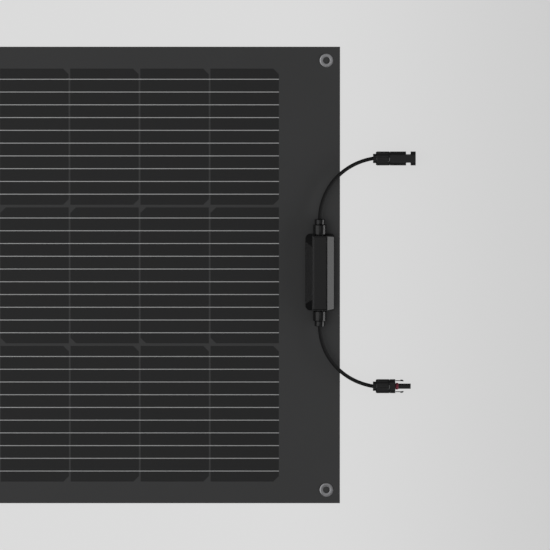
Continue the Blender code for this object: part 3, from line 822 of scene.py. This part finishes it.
def make_lid():
    """The lid: a plate just below the rim, whose long edge towards the cells is rounded most."""
    low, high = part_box("box_lid")
    corners = (BOX_RIDGE_CORNER - FIT,) * 2
    top = high.z + LID_SEAT
    rings = [rounded_ring(low, high, corners, low.z)]
    for i in range(ARC_STEPS + 1):
        tilt = LID_ROUND_TILT * (1 - i / ARC_STEPS)
        inset = LID_ROUND * (sin(LID_ROUND_TILT) - sin(tilt))
        near, far = Vector((inset, inset / 2, 0)), Vector((inset * LID_FAR_ROUND, inset / 2, 0))
        rings.append(rounded_ring(low + near, high - far, corners, top - LID_ROUND * (1 - cos(tilt))))
    rigid(loft("junction_box_lid", rings), "root", "box_lid")


# Glands and cables


def round_node(name):
    """(middle, low corner, high corner, radius) of a node that is round about a level axis."""
    low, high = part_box(name)
    return (low + high) / 2, low, high, (high.z - low.z) / 2


def make_gland(lead, side):
    """The gland's body and its nut. Both are turned about an axis that points out of the box."""
    for node in (f"{lead}_gland_body", f"{lead}_gland_nut"):
        middle, low, high, radius = round_node(node)
        length = high.y - low.y
        if node.endswith("body"):
            name, body = f"{lead}_gland", "root"
            profile = [
                (radius, length),
                (radius, GLAND_STUB_LENGTH),
                (GLAND_STUB_RADIUS, GLAND_STUB_LENGTH),
                (GLAND_STUB_RADIUS, 0),
                (CABLE_BORE, 0),
                (CABLE_BORE, GLAND_POCKET_FLOOR),
                (GLAND_POCKET_RADIUS, GLAND_POCKET_FLOOR),
                (GLAND_POCKET_RADIUS, length),
            ]
        else:
            name, body = f"{lead}_gland_cap", node
            profile = [
                (radius, length),
                (radius, CAP_THREAD_LENGTH),
                (CAP_THREAD_RADIUS, CAP_THREAD_LENGTH),
                (CAP_THREAD_RADIUS, 0),
                (CABLE_BORE, 0),
                (CABLE_BORE, length - CAP_MOUTH_DEPTH),
                (CAP_MOUTH_RADIUS, length),
            ]
        inner = Vector((middle.x, low.y if side > 0 else high.y, middle.z))
        piece = turned(name, profile, stand(inner, Vector((0, side, 0))), "box_plastic", GLAND_EDGE)
        rigid(piece, body, node)


def bezier(points, t):
    """The point at t on a cubic curve."""
    a, b, c, d = points
    return (1 - t) ** 3 * a + 3 * t * (1 - t) ** 2 * b + 3 * t**2 * (1 - t) * c + t**3 * d


def cable_path(lead, side):
    """The cable's centre line from inside the gland's mouth to the crimp."""
    mouth = body_joint(f"{lead}_lead_swing")
    middle, low, high, _ = round_node(f"{lead}_coupler_nut")
    collar = Vector((low.x - FIT, middle.y, middle.z))
    crimp = Vector((high.x + CRIMP_START, middle.y, middle.z))
    out = Vector((0, side * CURVE_AT_GLAND, 0))
    back = -CURVE_AT_COLLAR * Vector((cos(ENTRY_ANGLE), side * sin(ENTRY_ANGLE), 0))
    curve = (mouth, mouth + out, collar + back, collar)
    points = [mouth - Vector((0, side * (TAIL_SHORTFALL - FIT), 0))]
    points += [bezier(curve, i / CURVE_STEPS) for i in range(CURVE_STEPS + 1)]
    points += [collar.lerp(crimp, i / STRAIGHT_STEPS) for i in range(1, STRAIGHT_STEPS + 1)]
    return points


def cable_ring(bm, path, i):
    """The cable's ring of vertices round point i of its path."""
    before, after = path[max(0, i - 1)], path[min(len(path) - 1, i + 1)]
    along = (after - before).normalized()
    across = along.cross(Vector((0, 0, 1))).normalized()
    up = across.cross(along)
    ring = []
    for k in range(CABLE_SIDES):
        angle = 2 * pi * k / CABLE_SIDES
        ring.append(bm.verts.new(path[i] + CABLE_RADIUS * (across * cos(angle) + up * sin(angle))))
    return ring


def make_cable(lead, side):
    """The free cable, one tube that curves out of the gland and on to the coupler."""
    path = cable_path(lead, side)
    bm = bmesh.new()
    uv = bm.loops.layers.uv.new("UVMap")
    side_width = 2 * pi * CABLE_RADIUS / CABLE_SIDES
    travelled = 0.0
    rings = [cable_ring(bm, path, i) for i in range(len(path))]
    for i, (first, second) in enumerate(zip(rings, rings[1:])):
        start, travelled = travelled, travelled + (path[i + 1] - path[i]).length
        for k in range(CABLE_SIDES):
            m = (k + 1) % CABLE_SIDES
            face = bm.faces.new((first[k], first[m], second[m], second[k]))
            corners = [(start, k), (start, k + 1), (travelled, k + 1), (travelled, k)]
            for loop, (u, v) in zip(face.loops, corners):
                loop[uv].uv = (u, v * side_width)
    bm.faces.new(rings[0])
    bm.faces.new(rings[-1])
    cable = new_object(f"{lead}_lead_cable", bm, "cable_jacket", smooth=True)
    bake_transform(cable)
    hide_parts(f"{lead}_cable")


# Couplers


def grip_rise(x, angle):
    """How far the end nut's surface stands out at x, behind its front, and this far round: 0 to 1."""
    pitch = 2 * pi / GRIPS
    across = abs((angle + pitch / 2) % pitch - pitch / 2) * NUT_BARREL
    nose = max(0.0, x - GRIP_FRONT + GRIP_NOSE) * GRIP_HALF_WIDTH / GRIP_NOSE
    inside = GRIP_HALF_WIDTH - hypot(across, nose)
    pad = min(1.0, max(0.0, inside / GRIP_SLOPE))
    in_groove = max(0.0, 1 - abs(across - GROOVE_PLACE) / GROOVE_HALF_WIDTH)
    return pad * (1 - GROOVE_DEPTH * min(in_groove, pad)) if nose == 0 else pad


def make_end_nut(lead):
    """The end nut: a slim collar, then a barrel with raised grips whose front ends are rounded."""
    middle, low, high, radius = round_node(f"{lead}_coupler_nut")
    centre = Vector((high.x + FIT + NUT_REACH, middle.y, middle.z))
    length = centre.x - low.x
    shoulder = -length + COLLAR_LENGTH
    cavity_start = -NUT_CAVITY_LENGTH - NUT_REACH
    rear, rim = radius - NUT_REAR_STEP, radius - NUT_RIM_DROP
    outline = [
        (CABLE_BORE, -length),
        (COLLAR_RADIUS - NUT_EDGE, -length),
        (COLLAR_RADIUS, -length + NUT_EDGE),
        (COLLAR_RADIUS, shoulder),
        (rear - NUT_EDGE, shoulder),
        (rear, shoulder + NUT_EDGE),
    ]
    barrel = even_steps(shoulder + NUT_REAR_SLOPE, -NUT_RIM_LENGTH, NUT_STEP)
    inner = [
        (rim, -NUT_RIM_LENGTH),
        (rim, -JOINT_GAP),
        (NUT_CAVITY_RADIUS, -JOINT_GAP),
        (NUT_CAVITY_RADIUS, cavity_start),
        (CABLE_BORE, cavity_start),
    ]
    steps = 2 * ROUND_STEPS
    bm = bmesh.new()
    columns = []
    for i in range(steps):
        angle = 2 * pi * i / steps
        flat = COUPLER_FLAT / max(MM, abs(cos(angle)))
        points = list(outline)
        points += [(NUT_BARREL + (radius - NUT_BARREL) * grip_rise(x, angle), x) for x in barrel]
        points += [(min(r, flat), x) for r, x in inner]
        out = Vector((0, sin(angle), cos(angle)))
        columns.append([bm.verts.new(centre + Vector((x, 0, 0)) + r * out) for r, x in points])
    for i, column in enumerate(columns):
        bridge(bm, column, columns[(i + 1) % steps])
    nut = new_object(f"{lead}_end_nut", bm, "coupler_plastic", smooth=True)
    rigid(nut, f"{lead}_coupler_nut", f"{lead}_coupler_nut")


def coupler_rear(stub_end):
    """The hidden rear of a coupler's outline: a stub inside the end nut, hollow for the seal."""
    return [
        (REAR_RADIUS, NUT_REACH),
        (REAR_RADIUS, stub_end),
        (REAR_BORE, stub_end),
        (REAR_BORE, REAR_FLOOR),
        (CABLE_BORE, REAR_FLOOR),
    ]


def coupler_joint(lead):
    """Where a coupler's housing meets its end nut in the CAD. Lengths along the coupler start here."""
    middle, _, high, _ = round_node(f"{lead}_coupler_nut")
    return Vector((high.x + FIT, middle.y, middle.z))


def block(middle, size, bevel=0.0):
    """A cutter with this middle and size, and rounded edges if asked for."""
    bpy.ops.mesh.primitive_cube_add(size=1)
    cutter = bpy.context.object
    cutter.scale = size
    cutter.location = middle
    bpy.ops.object.transform_apply(location=False, rotation=False, scale=True)
    if bevel:
        rounding = cutter.modifiers.new("rounded", "BEVEL")
        rounding.width = bevel
        rounding.segments = 4
    return cutter


def coupler_flats(joint, length):
    """Cutters for the flats on the top and the underside of a coupler, from its joint forwards."""
    size = Vector((length + CUT_CLEARANCE, 4 * COUPLER_FLAT, COUPLER_FLAT))
    return [block(joint + Vector((length / 2, 0, side * 1.5 * COUPLER_FLAT)), size) for side in (1, -1)]


def make_pin_shell():
    """The shell over the pin contact, with a window in either side."""
    _, low, high, radius = round_node("pin_coupler_shell")
    joint = coupler_joint("pin")
    tip = high.x - joint.x
    profile = [
        (radius, tip),
        (radius, NUT_REACH),
        *coupler_rear(low.x - joint.x),
        (CABLE_BORE, SHELL_THROAT),
        (SHELL_BORE, SHELL_THROAT),
        (SHELL_BORE, tip - SHELL_MOUTH_DEPTH),
        (SHELL_MOUTH_RADIUS, tip),
    ]
    shell = turned("pin_shell", profile, stand(joint, Vector((1, 0, 0))), "coupler_plastic", COUPLER_EDGE)
    cutters = coupler_flats(joint, tip)
    inner, outer = radius - WINDOW_DEPTH, radius + MM
    window = Vector((WINDOW_LENGTH, outer - inner, 2 * outer))
    for side in (1, -1):
        place = joint + Vector((WINDOW_PLACE, side * (inner + outer) / 2, 0))
        cutters.append(block(place, window, WINDOW_ROUNDING))
    carve(shell, cutters, COUPLER_FLAT_SHARP)
    soften_edges(shell, SHELL_SOFT_EDGE)
    rigid(shell, "pin_lead", "pin_coupler_shell")


def make_socket_probe():
    """The housing with its probe, and the red seal ring round the probe's root."""
    _, low, high, radius = round_node("socket_coupler_probe")
    joint = coupler_joint("socket")
    place = stand(joint, Vector((1, 0, 0)))
    tip = high.x - joint.x
    face = body_joint("latch_left_press").x - joint.x
    profile = [
        (PROBE_RADIUS, tip),
        (PROBE_RADIUS, face),
        (radius, face),
        (radius, NUT_REACH),
        *coupler_rear(low.x - joint.x),
        (CABLE_BORE, PROBE_THROAT),
        (PROBE_BORE, PROBE_THROAT_END),
        (PROBE_BORE, tip),
    ]
    body = turned("socket_housing", profile, place, "coupler_plastic", COUPLER_EDGE)
    carve(body, coupler_flats(joint, face), COUPLER_FLAT_SHARP)
    rigid(body, "socket_lead", "socket_coupler_probe")

    _, low, high, radius = round_node("socket_seal_ring")
    start, end = low.x - joint.x, high.x - joint.x
    inner, lip = PROBE_RADIUS + RING_CLEARANCE, (end - start) / 3
    ring = [(radius, end - lip), (radius, start), (inner, start), (inner, end), (radius - RING_TAPER, end)]
    seal = turned("red_seal_ring", ring, place, "red_seal", RING_EDGE)
    rigid(seal, "socket_lead", "socket_seal_ring")


def make_latch_arm(name, side):
    """A springy arm beside the probe: a thin shaft that swells into a barb at its tip."""
    low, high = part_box(f"socket_latch_arm_{name}")
    shaft_side = (high.y if side > 0 else low.y) - side * BARB_RISE
    length = high.x - low.x
    outline = [
        (0, 0),
        (length - BARB_BACK, 0),
        (length - BARB_BACK_TOP, -BARB_RISE),
        (length - BARB_FRONT_TOP, -BARB_RISE),
        (length, ARM_TIP_INSET),
        (length, ARM_TIP_WIDTH),
        (length - ARM_TIP_TAPER, ARM_SHAFT),
        (0, ARM_SHAFT),
    ]
    bm = bmesh.new()
    rows = []
    for z in (low.z, high.z):
        rows.append([bm.verts.new((low.x + x, shaft_side - side * inward, z)) for x, inward in outline])
    add_plate(bm, rows)
    arm = new_object(f"latch_arm_{name}", bm, "coupler_plastic")
    soften_edges(arm, ARM_SHAFT / 5)
    rigid(arm, f"latch_arm_{name}", f"socket_latch_arm_{name}")


# Stage


def make_floor():
    """A pale floor that glows a little, so that shadows stay faint, and dims towards +X."""
    bpy.ops.mesh.primitive_plane_add(size=FLOOR_SIZE, location=(0, 0, -FIT))
    floor = bpy.context.object
    floor.name = "floor"
    shader = Shader("floor", 1.0, 0.0)
    shader.colour((0.08, 0.08, 0.08, 1))
    across = shader.node("ShaderNodeSeparateXYZ", Vector=shader.coordinates()).outputs["X"]
    shader.feed(shader.surface.inputs["Emission Color"], (1.0, 1.0, 1.0, 1))
    glow = shader.span(across, FLOOR_FADE, FLOOR_GLOW, smooth=True)
    shader.feed(shader.surface.inputs["Emission Strength"], glow)
    floor.data.materials.append(shader.material)
    floor.visible_glossy = floor.visible_diffuse = False


def make_softbox(name, azimuth, elevation, size, radiance):
    """A soft light that the camera doesn't see, at this bearing and height angle from the box."""
    target = Vector((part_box("box_housing")[1].x, 0, 0))
    a, e = radians(azimuth), radians(elevation)
    data = bpy.data.lights.new(name, "AREA")
    data.shape = "RECTANGLE"
    data.size, data.size_y = size
    data.energy = radiance * pi * size[0] * size[1]
    light = bpy.data.objects.new(name, data)
    light.location = target + SOFTBOX_DISTANCE * Vector((cos(a) * cos(e), sin(a) * cos(e), sin(e)))
    light.rotation_mode = "QUATERNION"
    light.rotation_quaternion = (target - light.location).to_track_quat("-Z", "Y")
    light.visible_camera = False
    bpy.context.scene.collection.objects.link(light)


def make_camera():
    """The camera, far above the box and leaning towards +Y."""
    camera = bpy.data.cameras.new("camera")
    camera.sensor_width = SENSOR_WIDTH
    camera.lens = SENSOR_WIDTH * CAMERA_DISTANCE / VIEW_WIDTH
    camera.clip_end = 2 * CAMERA_DISTANCE
    tripod = bpy.data.objects.new("camera", camera)
    back = Vector((0, sin(VIEW_LEAN), cos(VIEW_LEAN)))
    tripod.location = Vector((*VIEW_CENTRE, SHEET_TOP)) + CAMERA_DISTANCE * back
    tripod.rotation_euler = (-VIEW_LEAN, 0, 0)
    bpy.context.scene.collection.objects.link(tripod)
    bpy.context.scene.camera = tripod


def make_stage():
    """The floor, soft light and the camera."""
    make_floor()
    world = bpy.data.worlds.new("studio")
    bpy.context.scene.world = world
    world.use_nodes = True
    background = world.node_tree.nodes["Background"]
    background.inputs["Color"].default_value = (1.0, 1.0, 1.0, 1)
    background.inputs["Strength"].default_value = WORLD_STRENGTH
    for name, settings in SOFTBOXES.items():
        make_softbox(name, *settings)
    make_camera()
    bpy.context.scene.view_settings.view_transform = "Standard"


def finish_cad_nodes():
    """Gives each CAD node the material of its slot."""
    slots = {part["node"]: part["material_slot"] for part in frame["record"]["subparts"]}
    for name, obj in frame["nodes"].items():
        obj.data.materials.clear()
        obj.data.materials.append(MATERIALS[slots[name]])


make_laminate()
make_eyelets()
make_housing()
make_lid()
for lead, side in (("pin", 1), ("socket", -1)):
    make_gland(lead, side)
    make_cable(lead, side)
    make_end_nut(lead)
make_pin_shell()
make_socket_probe()
make_latch_arm("left", 1)
make_latch_arm("right", -1)
finish_cad_nodes()
make_stage()
